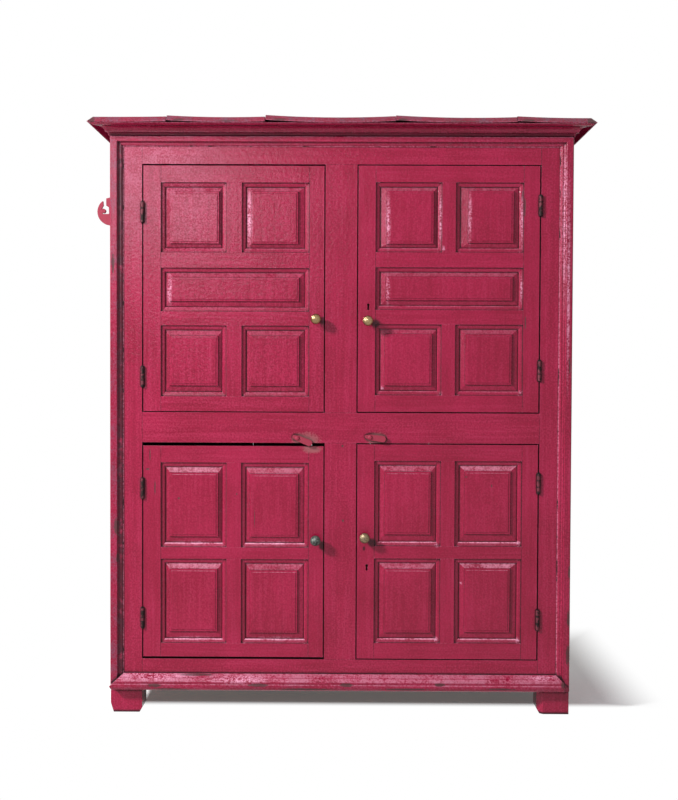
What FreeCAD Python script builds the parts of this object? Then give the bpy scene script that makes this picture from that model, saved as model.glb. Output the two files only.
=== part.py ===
import FreeCAD, Part
import math
import os

# Larder cupboard: a joined face frame on two front posts, four doors of raised panels, a mitred face
# moulding, a cornice under cupped top boards, framed sides, a boarded back and shelves inside.
# Millimetres. X runs to the viewer's right, Y to the back and Z up. The floor is Z = 0, and the
# origin is under the middle of the whole cupboard.

V = FreeCAD.Vector

# Overall size
HALF_WIDTH = 691.5
CARCASS_DEPTH = 480.0
CARCASS_TOP = 1764.0
CROWN_REACH = 59.0
FACE = (CROWN_REACH - CARCASS_DEPTH) / 2
BACK = FACE + CARCASS_DEPTH
CROWN_HALF_WIDTH = HALF_WIDTH + CROWN_REACH

# Face frame
POST_INNER = 596.5
FRONT_POST_DEPTH = 80.0
BACK_POST_DEPTH = 45.0
FRAME_THICK = 32.0
STILE_HALF = 47.5
BOTTOM_RAIL = (70.0, 162.5)
MIDDLE_RAIL = (816.5, 907.5)
TOP_RAIL = (1650.0, CARCASS_TOP)
TENON_THICK = 12.0
TENON_INSET = 10.0
RAIL_TENON_LENGTH = 35.0
STILE_TENON_LENGTH = 30.0
STILE_TENON_HALF = 32.0

# Feet: what knocks and wear have taken off their corners, across and up, and the split corner's size
OUTER_FOOT_WEAR = (9.0, 28.0)
INNER_FOOT_WEAR = (8.0, 14.0)
FOOT_SPLIT = 18.0

# Sides and back
SIDE_SETBACK = 6.0
SIDE_RAIL_THICK = 28.0
SIDE_RAILS = (BOTTOM_RAIL, MIDDLE_RAIL, (1640.0, CARCASS_TOP))
SIDE_PANEL_THICK = 10.0
SIDE_PANEL_TONGUE = 9.0
SIDE_TENON_LENGTH = 25.0
BACK_BOARD_THICK = 14.0
BACK_BOARD_COUNT = 7
BACK_BOARD_GAP = 1.5
BACK_RAIL_THICK = 28.0
BACK_RAILS = ((70.0, 150.0), (830.0, 900.0), (1684.0, CARCASS_TOP))
BACK_RAIL_TENON = 30.0

# Boards inside
BOARD_THICK = 18.0
BOARD_GAP = 2.0
FLOOR_LEVEL = 140.0
MIDDLE_SHELF_LEVEL = 862.0
SHELF_LEVELS = (480.0, 1120.0, 1390.0)
SHELF_FRONT_GAP = 46.0
BATTEN = 22.0
STOP_THICK = 12.0
STOP_OVERLAP = 10.0

# Face moulding: reach is measured from the face, width inwards from the posts' outer edge
CORNICE_DROP = 32.0
MOULDING_GAP = 0.2
MOULDING_WIDTH = 40.0
TOP_MOULDING_HEIGHT = 30.0
MOULDING_TOP = CARCASS_TOP - CORNICE_DROP - MOULDING_GAP
BASE_BOTTOM = 70.0
BASE_TOP = 119.5
BASE_MITRE_START = 84.0
FACE_MOULDING_PROFILE = (
    (0.0, 0.0), (0.0, 8.0), (1.4, 10.4, 4.5, 11.0), (18.5, 11.4), (21.4, 10.6, 22.5, 8.2), (24.0, 8.2),
    (26.2, 5.4, 30.0, 4.6), (34.5, 4.0, 37.0, 1.6), (40.0, 1.2), (40.0, 0.0))
BASE_PROFILE = (
    (0.0, BASE_TOP), (5.0, 119.0), (18.0, 109.5), (27.5, 103.0, 29.0, 92.0), (29.0, 80.0, 22.0, 72.5),
    (14.0, BASE_BOTTOM), (0.0, BASE_BOTTOM))

# Wear of the base moulding's ends, measured inwards from the end: the left end's lower corner as
# (distance, height), and what has broken out of the right end as (distance, reach)
BASE_WORN_CORNER = ((-1.0, 86.0), (2.5, 78.0), (6.5, 72.5), (12.0, 69.0), (-1.0, 69.0))
BASE_BREAK = ((22.0, 40.0), (17.5, 24.0), (20.0, 17.0), (13.0, 10.0), (-1.0, 6.5), (-1.0, 40.0))

# Cornice: reach from the face, and height measured from the carcass top
CORNICE_PROFILE = (
    (0.0, -CORNICE_DROP), (1.0, -CORNICE_DROP), (4.54, -30.54, 6.0, -27.0), (7.7, -22.9, 11.8, -21.2),
    (14.5, -21.2), (14.5, -18.5), (19.8, -10.6, 34.0, -7.0), (37.5, -7.0), (37.5, -5.2),
    (50.0, -4.6, 56.5, 0.0), (0.0, 0.0))

# Top boards: joints across the width, and how far the edges of each board have lifted by cupping
TOP_BOARD_THICK = 17.0
TOP_BOARD_JOINTS = (-CROWN_HALF_WIDTH, -518.0, -226.0, 160.0, 518.0, CROWN_HALF_WIDTH)
TOP_BOARD_LIFTS = ((0.3, 2.0), (6.0, 2.5), (8.5, 5.5), (8.0, 3.0), (6.0, 0.3))
TOP_BOARD_GAP = 1.5
SEAT_GAP = 0.05
CROWN_NOSE = 2.0
CROWN_BEVEL = 32.0

# Doors
DOOR_THICK = 31.0
HINGE_EDGE = 593.0
LOCK_EDGE = 51.0
GROOVE = (13.0, 21.0)
GROOVE_DEPTH = 10.0
TONGUE = 8.0
DOOR_TENON_LENGTH = 36.0

# Moulding worked on the frame's edges, as (distance into the opening, depth behind the face): a sharp
# sinking, a long slope and a chamfer
FRAME_MOULD = ((0.0, 0.0), (0.5, 3.4), (9.5, 4.8), (13.0, 7.2))
MOULD_WIDTH = FRAME_MOULD[-1][0]

# Panel from the raised field outwards, as (distance outside the field, depth behind the face): a small
# sinking, a ledge and a steep step down to the bevel, which ends at BEVEL_RIM along the frame
FIELD_MOULD = ((0.0, 1.0), (0.8, 2.0), (6.0, 2.3), (7.0, 5.6))
BEVEL_RIM = 9.5

# Each door as it hangs: z of its edges, x of its stiles' inner edges and its muntin, the rows of panel
# openings with whether the muntin divides them, the knob's place and the hinges' heights. The openings
# are measured over the moulding of the frame. fields says how far each raised field stands in from its
# opening on the lock side, on the hinge side, below and above, the lock side's panel first in a row.
DOORS = {
    "upper_left": dict(
        side=-1, bottom=910.5, top=1645.5, hinge_stile=540.5, muntin=(298.0, 343.5), lock_stile=95.5,
        rows=((955.5, 1168.0, True), (1210.0, 1340.5, False), (1386.5, 1595.5, True)),
        fields=((36.0, 32.0, 38.0, 37.0), (32.0, 32.0, 38.0, 37.0), (37.0, 34.0, 37.0, 35.0),
                (40.0, 35.0, 32.5, 33.0), (29.0, 34.0, 33.0, 33.0)),
        knob=(75.0, 1188.0), hinges=(1014.0, 1506.5)),
    "upper_right": dict(
        side=1, bottom=911.0, top=1647.0, hinge_stile=545.0, muntin=(301.5, 342.5), lock_stile=103.0,
        rows=((961.0, 1173.5, True), (1217.0, 1344.0, False), (1389.0, 1597.5, True)),
        fields=((35.0, 35.0, 35.0, 35.0), (37.0, 39.0, 38.5, 35.0), (37.5, 37.5, 35.0, 33.0),
                (39.0, 31.5, 31.5, 32.0), (44.0, 36.0, 35.0, 31.0)),
        knob=(80.5, 1183.5), hinges=(1036.0, 1529.0)),
    "lower_left": dict(
        side=-1, bottom=169.0, top=806.5, hinge_stile=540.5, muntin=(298.5, 342.5), lock_stile=95.5,
        rows=((210.0, 465.0, True), (500.5, 756.0, True)),
        fields=((39.0, 32.0, 38.0, 40.0), (34.0, 32.0, 41.0, 37.0), (38.0, 32.0, 38.0, 40.0),
                (32.0, 34.0, 38.0, 37.0)),
        knob=(74.0, 524.5), hinges=(286.5, 678.0)),
    "lower_right": dict(
        side=1, bottom=165.5, top=813.0, hinge_stile=545.5, muntin=(302.0, 344.0), lock_stile=102.5,
        rows=((213.5, 469.0, True), (506.5, 763.5, True)),
        fields=((38.0, 34.0, 37.0, 38.0), (38.0, 40.0, 39.0, 35.0), (37.0, 36.0, 41.0, 39.0),
                (36.0, 40.0, 43.0, 36.0)),
        knob=(73.5, 533.0), hinges=(285.5, 697.0)),
}

# Butt hinges
PIN_X = 595.0
PIN_FORWARD = 2.5
PIN_RADIUS = 2.2
PIN_CLEARANCE = 0.05
KNUCKLE_RADIUS = 5.0
KNUCKLE_COUNT = 3
KNUCKLE_GAP = 0.4
HINGE_HEIGHT = 63.0
HINGE_CLEARANCE = 0.6
LEAF_THICK = 2.0
LEAF_RECESS = 1.0
LEAF_DEPTH = 24.0

# Knobs: radius and distance in front of the door face. The bulb between foot and tip is an ellipse
# turned in short straight cuts.
KNOB_FOOT = ((0.0, -20.0), (3.0, -20.0), (3.0, 0.0), (11.2, 0.0), (6.4, 4.0))
KNOB_BULB = dict(radius=15.6, half_length=12.4, middle=22.4, half_angle=52.0, cuts=5)
KNOB_TIP = ((5.6, 34.8), (0.0, 34.8))
KNOB_HOLE_RADIUS = 3.3
KNOB_HOLE_DEPTH = 23.0

# Locks let into the back of the right doors
LOCKS = {
    "upper": dict(door="upper_right", key=(81.5, 1226.0), bolt_offset=24.0),
    "lower": dict(door="lower_right", key=(80.5, 442.0), bolt_offset=-24.0),
}
LOCK_WIDTH = 40.0
LOCK_FRONT = 17.0
LOCK_WALL = 2.0
LOCK_NEAR = 13.0
LOCK_FAR = 37.0
KEY_ROUND = 4.0
KEY_SLOT_HALF = 2.6
KEY_SLOT_DROP = 11.0
KEY_PIN_RADIUS = 1.6
BOLT = dict(length=35.0, thick=8.0, height=14.0)
BOLT_FRONT = 19.8
BOLT_CLEARANCE = 0.3
BOLT_TRAVEL = 10.0
BOLT_MORTISE_ROOM = 1.0

# Turn buttons on the middle rail: pivot, and the angle of the arm below level
TURN_BUTTONS = {
    "left": dict(pivot=(-129.0, 831.0), droop=22.0),
    "right": dict(pivot=(89.5, 834.5), droop=8.0),
}
BUTTON_THICK = 9.0
BUTTON_LIFT = 0.8
BUTTON_PLAY = 0.3
BUTTON_OUTLINE = (
    (-11.5, 5.0), (0.0, 8.5), (37.5, 9.5), (47.0, 0.0, 37.5, -9.5), (0.0, -8.5), (-11.5, -5.0),
    (-16.5, 0.0, -11.5, 5.0))
BUTTON_BORE = 3.55
BUTTON_PIN_RADIUS = 3.5
BUTTON_PIN_DEPTH = 24.0
BUTTON_HEAD = dict(radius=6.8, flat=4.0, height=2.8)

# Forged hook on the left side: distance out from the post and height above its own foot
HOOK_BASE = 1468.0
HOOK_BACKSET = 34.0
HOOK_THICK = 8.0
HOOK_OUTLINE = (
    (0.0, 88.0), (19.4, 83.0), (19.4, 61.5), (11.5, 56.5), (10.7, 38.5), (12.2, 36.5), (29.5, 36.5),
    (32.6, 49.5, 27.6, 61.5), (28.6, 74.5), (31.2, 74.5), (45.6, 37.0, 19.6, 4.6), (0.0, 0.0))
HOOK_TONGUE = dict(out=27.0, height=45.5, radius=6.4, length=15.0)
HOOK_TANG = dict(height=24.0, thick=6.0, length=26.0)


def box(x0, x1, y0, y1, z0, z1):
    """Block between two corners."""
    return Part.makeBox(x1 - x0, y1 - y0, z1 - z0, V(x0, y0, z0))


def outline(steps, place):
    """Closed wire: a step of two numbers is a corner, one of four is an arc's middle and its end."""
    edges = []
    here = place(*steps[0][-2:])
    for step in tuple(steps[1:]) + (steps[0],):
        there = place(*step[-2:])
        if len(step) == 4:
            edges.append(Part.Arc(here, place(*step[:2]), there).toShape())
        elif here.distanceToPoint(there) > 1e-6:
            edges.append(Part.LineSegment(here, there).toShape())
        here = there
    return Part.Wire(edges)


def prism(steps, place, along):
    """Solid made by pushing a closed outline along a vector."""
    return Part.Face(outline(steps, place)).extrude(along)


def mirrored(shape):
    """The same piece on the other side of the middle."""
    return shape.mirror(V(0, 0, 0), V(1, 0, 0))


def both_sides(shape):
    return [mirrored(shape), shape]


def on_side(shape, side):
    return shape if side > 0 else mirrored(shape)


def save(node, solids):
    """One file per named piece; a piece may be a set of like solids."""
    solids = solids if isinstance(solids, (list, tuple)) else [solids]
    single = [solid for shape in solids for solid in shape.Solids]
    shape = single[0] if len(single) == 1 else Part.makeCompound(single)
    if not shape.isValid():
        raise ValueError(node + " is not a valid solid")
    shape.exportStep("parts/" + node + ".step")
    print(node, len(single), round(sum(solid.Volume for solid in single) / 1000.0, 1))


# Face frame

def frame_tenon(x0, x1, z0, z1):
    """Tongue of a frame member, set back from the face."""
    front = FACE + TENON_INSET
    return box(x0, x1, front, front + TENON_THICK, z0, z1)


def rail_tenon(rail):
    """Tenon on the right end of a face rail."""
    return frame_tenon(POST_INNER, POST_INNER + RAIL_TENON_LENGTH, rail[0] + TENON_INSET,
                       rail[1] - TENON_INSET)


def stile_tenons(low, high):
    """Tenons on both ends of a centre stile that stands between two rails."""
    foot = frame_tenon(-STILE_TENON_HALF, STILE_TENON_HALF, low - STILE_TENON_LENGTH, low)
    head = frame_tenon(-STILE_TENON_HALF, STILE_TENON_HALF, high, high + STILE_TENON_LENGTH)
    return [foot, head]


def hinge_cuts(side):
    """Sinkings in a post's edge for its doors' leaves, and the rounds that clear the knuckles."""
    cuts = []
    for door in DOORS.values():
        if door["side"] == side:
            for middle in door["hinges"]:
                cuts.append(post_leaf_sinking(middle))
                cuts.append(knuckle_round(middle))
    return cuts


def side_tenon(rail, y0, y1):
    """Tenon of a side rail, as deep in the post as y0 to y1."""
    outer = HALF_WIDTH - SIDE_SETBACK - (SIDE_RAIL_THICK - TENON_THICK) / 2
    return box(outer - TENON_THICK, outer, y0, y1, rail[0] + TENON_INSET, rail[1] - TENON_INSET)


def side_groove(y0, y1, z0, z1):
    """Slot that takes the edge of a side panel."""
    outer = HALF_WIDTH - SIDE_SETBACK - (SIDE_RAIL_THICK - SIDE_PANEL_THICK) / 2
    return box(outer - SIDE_PANEL_THICK, outer, y0, y1, z0, z1)


def side_panel_heights():
    """Lower and upper side panel, each with the tongues that enter the rails."""
    bottom, middle, top = SIDE_RAILS
    return ((bottom[1] - SIDE_PANEL_TONGUE, middle[0] + SIDE_PANEL_TONGUE),
            (middle[1] - SIDE_PANEL_TONGUE, top[0] + SIDE_PANEL_TONGUE))


def front_post(side):
    """Front post, drawn on the right, with its mortises, panel grooves and its own side's hinges."""
    rear = FACE + FRONT_POST_DEPTH
    post = box(POST_INNER, HALF_WIDTH, FACE, rear, 0.0, CARCASS_TOP)
    cuts = [rail_tenon(rail) for rail in (BOTTOM_RAIL, MIDDLE_RAIL, TOP_RAIL)]
    cuts += [side_tenon(rail, rear - SIDE_TENON_LENGTH, rear) for rail in SIDE_RAILS]
    cuts += [side_groove(rear - SIDE_PANEL_TONGUE, rear, z0, z1) for z0, z1 in side_panel_heights()]
    return post.cut(cuts + hinge_cuts(side))


def foot_corner(edge, inward, wear):
    """Wedge off the bottom of a post at its edge x; inward is the direction to the post's middle."""
    across, height = wear
    corners = ((edge, 0.0), (edge + inward * across, 0.0), (edge, height))
    return prism(corners, lambda x, z: V(x, FACE, z), V(0, FRONT_POST_DEPTH, 0))


def front_posts():
    """The left foot is worn off outside; the right one has lost its inner front edge."""
    left = mirrored(front_post(-1))
    left = left.cut([foot_corner(-HALF_WIDTH, 1, OUTER_FOOT_WEAR),
                     foot_corner(-POST_INNER, -1, INNER_FOOT_WEAR)])
    corners = ((POST_INNER, FACE), (POST_INNER + FOOT_SPLIT, FACE), (POST_INNER, FACE + FOOT_SPLIT))
    split = prism(corners, lambda x, y: V(x, y, 0.0), V(0, 0, BASE_BOTTOM))
    right = front_post(1).cut([split, foot_corner(POST_INNER, 1, INNER_FOOT_WEAR)])
    return left, right


def back_posts():
    """Square posts at the back, faced by the back boards."""
    rear = BACK - BACK_BOARD_THICK
    front = rear - BACK_POST_DEPTH
    post = box(POST_INNER, HALF_WIDTH, front, rear, 0.0, CARCASS_TOP)
    cuts = [side_tenon(rail, front, front + SIDE_TENON_LENGTH) for rail in SIDE_RAILS]
    cuts += [side_groove(front, front + SIDE_PANEL_TONGUE, z0, z1) for z0, z1 in side_panel_heights()]
    cuts += [back_rail_tenon(rail) for rail in BACK_RAILS]
    return both_sides(post.cut(cuts))


def face_rail(rail, stile_cuts):
    """Rail across the face between the posts, with its two tenons and the stiles' mortises."""
    body = box(-POST_INNER, POST_INNER, FACE, FACE + FRAME_THICK, rail[0], rail[1])
    tenon = rail_tenon(rail)
    return body.fuse([tenon, mirrored(tenon)]).removeSplitter().cut(stile_cuts)


def face_rails():
    lower_foot, lower_head = stile_tenons(BOTTOM_RAIL[1], MIDDLE_RAIL[0])
    upper_foot, upper_head = stile_tenons(MIDDLE_RAIL[1], TOP_RAIL[0])
    pin_holes = [button_pin_hole(*button["pivot"]) for button in TURN_BUTTONS.values()]
    save("bottom_rail", face_rail(BOTTOM_RAIL, [lower_foot]))
    save("middle_rail", face_rail(MIDDLE_RAIL, [lower_head, upper_foot] + pin_holes))
    save("top_rail", face_rail(TOP_RAIL, [upper_head]))


def centre_stile(low, high, lock):
    """Upright between the two doors of a storey, mortised for the lock's bolt."""
    body = box(-STILE_HALF, STILE_HALF, FACE, FACE + FRAME_THICK, low, high)
    return body.fuse(stile_tenons(low, high)).removeSplitter().cut(bolt_mortise(lock))


def door_stops():
    """Boards behind the centre stiles that the doors shut against."""
    half = STILE_HALF + STOP_OVERLAP
    rear = FACE + FRAME_THICK
    spans = ((BOTTOM_RAIL[1], MIDDLE_RAIL[0]), (MIDDLE_RAIL[1], TOP_RAIL[0]))
    return [box(-half, half, rear, rear + STOP_THICK, low, high) for low, high in spans]


# Sides, back and boards

def side_rails():
    """Three rails of the right side, tenoned into both posts and grooved for the panels."""
    front = FACE + FRONT_POST_DEPTH
    rear = BACK - BACK_BOARD_THICK - BACK_POST_DEPTH
    outer = HALF_WIDTH - SIDE_SETBACK
    grooves = [side_groove(front, rear, z0, z1) for z0, z1 in side_panel_heights()]
    rails = []
    for rail in SIDE_RAILS:
        body = box(outer - SIDE_RAIL_THICK, outer, front, rear, rail[0], rail[1])
        tenon = side_tenon(rail, front - SIDE_TENON_LENGTH, rear + SIDE_TENON_LENGTH)
        rails.append(body.fuse(tenon).removeSplitter().cut(grooves))
    return rails


def side_panels():
    """Two flat panels that fill the right side between its rails."""
    front = FACE + FRONT_POST_DEPTH - SIDE_PANEL_TONGUE
    rear = BACK - BACK_BOARD_THICK - BACK_POST_DEPTH + SIDE_PANEL_TONGUE
    return [side_groove(front, rear, z0, z1) for z0, z1 in side_panel_heights()]


def back_rail_tenon(rail):
    """Right tenon of a back rail."""
    middle = BACK - BACK_BOARD_THICK - BACK_RAIL_THICK / 2
    return box(POST_INNER, POST_INNER + BACK_RAIL_TENON, middle - TENON_THICK / 2,
               middle + TENON_THICK / 2, rail[0] + TENON_INSET, rail[1] - TENON_INSET)


def back_rails():
    rear = BACK - BACK_BOARD_THICK
    rails = []
    for rail in BACK_RAILS:
        body = box(-POST_INNER, POST_INNER, rear - BACK_RAIL_THICK, rear, rail[0], rail[1])
        rails.append(body.fuse(both_sides(back_rail_tenon(rail))).removeSplitter())
    return rails


def back_boards():
    """Upright boards nailed side by side over the back."""
    pitch = 2 * HALF_WIDTH / BACK_BOARD_COUNT
    boards = []
    for number in range(BACK_BOARD_COUNT):
        left = -HALF_WIDTH + number * pitch
        right = left + pitch - (BACK_BOARD_GAP if number < BACK_BOARD_COUNT - 1 else 0.0)
        boards.append(box(left, right, BACK - BACK_BOARD_THICK, BACK, BOTTOM_RAIL[0], CARCASS_TOP))
    return boards


def boards_across(level, half, front, rear):
    """Two boards side by side that run across the cupboard and are notched round its posts."""
    middle = (front + rear) / 2
    posts = [box(POST_INNER, HALF_WIDTH, FACE, FACE + FRONT_POST_DEPTH, 0.0, CARCASS_TOP),
             box(POST_INNER, HALF_WIDTH, BACK - BACK_BOARD_THICK - BACK_POST_DEPTH, BACK, 0.0, CARCASS_TOP)]
    posts += [mirrored(post) for post in posts]
    boards = []
    for y0, y1 in ((front, middle - BOARD_GAP / 2), (middle + BOARD_GAP / 2, rear)):
        boards.append(box(-half, half, y0, y1, level, level + BOARD_THICK).cut(posts))
    return boards


def inner_boards():
    """Floor, the middle shelf between the storeys, and the loose shelves."""
    rail_half = HALF_WIDTH - SIDE_SETBACK - SIDE_RAIL_THICK
    panel_half = rail_half + (SIDE_RAIL_THICK - SIDE_PANEL_THICK) / 2
    front = FACE + FRAME_THICK
    rear = BACK - BACK_BOARD_THICK
    save("floor_boards", boards_across(FLOOR_LEVEL, rail_half, front, rear - BACK_RAIL_THICK))
    save("middle_shelf", boards_across(MIDDLE_SHELF_LEVEL, rail_half, front, rear - BACK_RAIL_THICK))
    shelves = []
    for level in SHELF_LEVELS:
        shelves += boards_across(level, panel_half, FACE + SHELF_FRONT_GAP, rear)
    save("shelves", shelves)


def shelf_battens():
    """Bearers under the boards: on the side rails, or from post to post where there is no rail."""
    rail_inner = HALF_WIDTH - SIDE_SETBACK - SIDE_RAIL_THICK
    rear = BACK - BACK_BOARD_THICK
    bearers = []
    for level in (FLOOR_LEVEL, MIDDLE_SHELF_LEVEL):
        bearers += both_sides(box(rail_inner - BATTEN, rail_inner, FACE + FRONT_POST_DEPTH,
                                  rear - BACK_POST_DEPTH, level - BATTEN, level))
    for level in SHELF_LEVELS:
        bearers += both_sides(box(POST_INNER - BATTEN, POST_INNER, FACE + SHELF_FRONT_GAP, rear,
                                  level - BATTEN, level))
    return bearers


# Cornice, top boards and mouldings

def cornice():
    """Front length and two returns of one profile, cut to the mitre at the corners."""
    front = FACE - CROWN_REACH
    length = prism(CORNICE_PROFILE, lambda reach, up: V(-CROWN_HALF_WIDTH, FACE - reach, CARCASS_TOP + up),
                   V(2 * CROWN_HALF_WIDTH, 0, 0))
    plan = ((-HALF_WIDTH, FACE), (HALF_WIDTH, FACE), (CROWN_HALF_WIDTH, front), (-CROWN_HALF_WIDTH, front))
    save("front_cornice", length.common(cornice_block(plan)))
    length = prism(CORNICE_PROFILE, lambda reach, up: V(HALF_WIDTH + reach, front, CARCASS_TOP + up),
                   V(0, BACK - front, 0))
    plan = ((HALF_WIDTH, FACE), (CROWN_HALF_WIDTH, front), (CROWN_HALF_WIDTH, BACK), (HALF_WIDTH, BACK))
    save("cornice_returns", both_sides(length.common(cornice_block(plan))))


def cornice_block(plan):
    """Everything at the cornice's height inside a figure seen from above."""
    return prism(plan, lambda x, y: V(x, y, CARCASS_TOP - CORNICE_DROP), V(0, 0, CORNICE_DROP))


def crown_bevel(place, along):
    """What the planed slope takes off the edge of the top boards; distances run in from the edge."""
    low = CARCASS_TOP + CROWN_NOSE
    corners = ((0.0, low), (CROWN_BEVEL, low + CROWN_BEVEL), (0.0, low + CROWN_BEVEL))
    return prism(corners, place, along)


def top_boards():
    """Wide boards laid from front to back, each cupped to an arc that rests on the carcass at its lowest
    line, and bevelled where it forms the cupboard's edge."""
    front = FACE - CROWN_REACH
    width = 2 * CROWN_HALF_WIDTH
    bevels = [crown_bevel(lambda d, z: V(-CROWN_HALF_WIDTH, front + d, z), V(width, 0, 0)),
              crown_bevel(lambda d, z: V(-CROWN_HALF_WIDTH + d, front, z), V(0, BACK - front, 0)),
              crown_bevel(lambda d, z: V(CROWN_HALF_WIDTH - d, front, z), V(0, BACK - front, 0))]
    boards = []
    for number, (left_lift, right_lift) in enumerate(TOP_BOARD_LIFTS):
        left, right = TOP_BOARD_JOINTS[number:number + 2]
        left += TOP_BOARD_GAP / 2 if number > 0 else 0.0
        right -= TOP_BOARD_GAP / 2 if number < len(TOP_BOARD_LIFTS) - 1 else 0.0
        middle = (left + right) / 2
        lower = CARCASS_TOP + SEAT_GAP
        upper = lower + TOP_BOARD_THICK
        rise = ((left_lift + right_lift) / 2 - (left_lift * right_lift) ** 0.5) / 2
        section = ((left, lower + left_lift),
                   (middle, lower + rise, right, lower + right_lift),
                   (right, upper + right_lift),
                   (middle, upper + rise, left, upper + left_lift))
        board = prism(section, lambda x, z: V(x, front, z), V(0, BACK - front, 0))
        boards.append(board.cut(bevels))
    return boards


def face_mouldings():
    """Moulding planted round the face: two sides and the top, mitred to each other and to the base."""
    inner = HALF_WIDTH - MOULDING_WIDTH
    inner_top = MOULDING_TOP - TOP_MOULDING_HEIGHT
    length = prism(FACE_MOULDING_PROFILE, lambda inward, reach: V(HALF_WIDTH - inward, FACE - reach, 0.0),
                   V(0, 0, CARCASS_TOP))
    corners = ((HALF_WIDTH, BASE_MITRE_START), (HALF_WIDTH, MOULDING_TOP), (inner, inner_top),
               (inner, BASE_TOP))
    side = length.common(mitre_block(corners))
    save("right_face_moulding", side)
    save("left_face_moulding", mirrored(side))
    squeeze = TOP_MOULDING_HEIGHT / MOULDING_WIDTH
    length = prism(FACE_MOULDING_PROFILE,
                   lambda inward, reach: V(-HALF_WIDTH, FACE - reach, MOULDING_TOP - squeeze * inward),
                   V(2 * HALF_WIDTH, 0, 0))
    corners = ((-HALF_WIDTH, MOULDING_TOP), (HALF_WIDTH, MOULDING_TOP), (inner, inner_top),
               (-inner, inner_top))
    save("top_face_moulding", length.common(mitre_block(corners)))


def mitre_block(corners):
    """Everything in front of the face inside a four-sided figure, to cut a moulding to its mitres."""
    return prism(corners, lambda x, z: V(x, FACE - MOULDING_WIDTH, z), V(0, MOULDING_WIDTH, 0))


def base_moulding():
    """Heavy rounded moulding over the feet, its upper corners cut to the mitre, its left end worn round
    below and a piece broken out of its right end."""
    body = prism(BASE_PROFILE, lambda reach, z: V(-HALF_WIDTH, FACE - reach, z), V(2 * HALF_WIDTH, 0, 0))
    corners = ((HALF_WIDTH, BASE_MITRE_START), (HALF_WIDTH, BASE_TOP),
               (HALF_WIDTH - MOULDING_WIDTH, BASE_TOP))
    mitre = mitre_block(corners)
    worn = mirrored(mitre_block([(HALF_WIDTH - inward, z) for inward, z in BASE_WORN_CORNER]))
    broken = prism(BASE_BREAK, lambda inward, reach: V(HALF_WIDTH - inward, FACE - reach, 0.0),
                   V(0, 0, BASE_TOP + 1.0))
    return body.cut([mitre, mirrored(mitre), worn, broken])


# Hinges

def pin_axis(radius, z0, z1):
    """Cylinder on the right-hand hinge line."""
    return Part.makeCylinder(radius, z1 - z0, V(PIN_X, FACE - PIN_FORWARD, z0))


def hinge_span(middle):
    return middle - HINGE_HEIGHT / 2, middle + HINGE_HEIGHT / 2


def knuckle_round(middle):
    """Round hollow that clears the knuckles at one hinge."""
    low, high = hinge_span(middle)
    return pin_axis(KNUCKLE_RADIUS + HINGE_CLEARANCE, low - HINGE_CLEARANCE, high + HINGE_CLEARANCE)


def post_leaf_sinking(middle):
    low, high = hinge_span(middle)
    return box(POST_INNER, POST_INNER + LEAF_RECESS, FACE, FACE + LEAF_DEPTH, low, high)


def door_leaf_sinking(middle):
    low, high = hinge_span(middle)
    return box(HINGE_EDGE - LEAF_RECESS, HINGE_EDGE, FACE, FACE + LEAF_DEPTH, low, high)


def hinge_leaf(middle, leaf_x, parity):
    """One leaf with every second knuckle, bored for the pin and notched for the other leaf's knuckles."""
    low, high = hinge_span(middle)
    leaf = box(leaf_x, leaf_x + LEAF_THICK, FACE - PIN_FORWARD, FACE + LEAF_DEPTH, low, high)
    notch_rear = FACE - PIN_FORWARD + KNUCKLE_RADIUS + HINGE_CLEARANCE
    step = HINGE_HEIGHT / KNUCKLE_COUNT
    half_gap = KNUCKLE_GAP / 2
    knuckles = []
    notches = []
    for number in range(KNUCKLE_COUNT):
        z0 = low + number * step
        z1 = z0 + step
        if number % 2 == parity:
            start = z0 + half_gap if number > 0 else low
            end = z1 - half_gap if number < KNUCKLE_COUNT - 1 else high
            knuckles.append(pin_axis(KNUCKLE_RADIUS, start, end))
        else:
            notches.append(box(leaf_x, leaf_x + LEAF_THICK, FACE - PIN_FORWARD, notch_rear,
                               z0 - half_gap, z1 + half_gap))
    bore = pin_axis(PIN_RADIUS + PIN_CLEARANCE, low, high)
    return leaf.cut(notches).fuse(knuckles).removeSplitter().cut(bore)


def post_leaf(middle):
    return hinge_leaf(middle, POST_INNER + LEAF_RECESS - LEAF_THICK, 0)


def door_leaf(middle):
    return hinge_leaf(middle, HINGE_EDGE - LEAF_RECESS, 1)


def hinge_pin(middle):
    """Pin filed off flush with the knuckles' ends."""
    return pin_axis(PIN_RADIUS, *hinge_span(middle))


def fixed_hinge_parts():
    leaves = []
    pins = []
    for door in DOORS.values():
        for middle in door["hinges"]:
            leaves.append(on_side(post_leaf(middle), door["side"]))
            pins.append(on_side(hinge_pin(middle), door["side"]))
    save("post_hinge_leaves", leaves)
    save("hinge_pins", pins)


# Doors, drawn on the right and mirrored to the left

def door_openings(door):
    """Panel openings as (x0, x1, z0, z1)."""
    left, right = door["lock_stile"], door["hinge_stile"]
    muntin_left, muntin_right = door["muntin"]
    openings = []
    for z0, z1, divided in door["rows"]:
        if divided:
            openings.append((left, muntin_left, z0, z1))
            openings.append((muntin_right, right, z0, z1))
        else:
            openings.append((left, right, z0, z1))
    return openings


def door_rail_spans(door):
    """Heights of the rails, between the rows of openings."""
    edges = [door["bottom"]]
    for z0, z1, _ in door["rows"]:
        edges += [z0, z1]
    edges.append(door["top"])
    return list(zip(edges[0::2], edges[1::2]))


def narrowed(opening, margin):
    x0, x1, z0, z1 = opening
    return x0 + margin, x1 - margin, z0 + margin, z1 - margin


def clear_opening(opening):
    """What the moulding of the frame leaves open."""
    return narrowed(opening, MOULD_WIDTH)


def door_tenon(x0, x1, z0, z1):
    """Tongue in the plane of the panel grooves."""
    return box(x0, x1, FACE + GROOVE[0], FACE + GROOVE[1], z0, z1)


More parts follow.
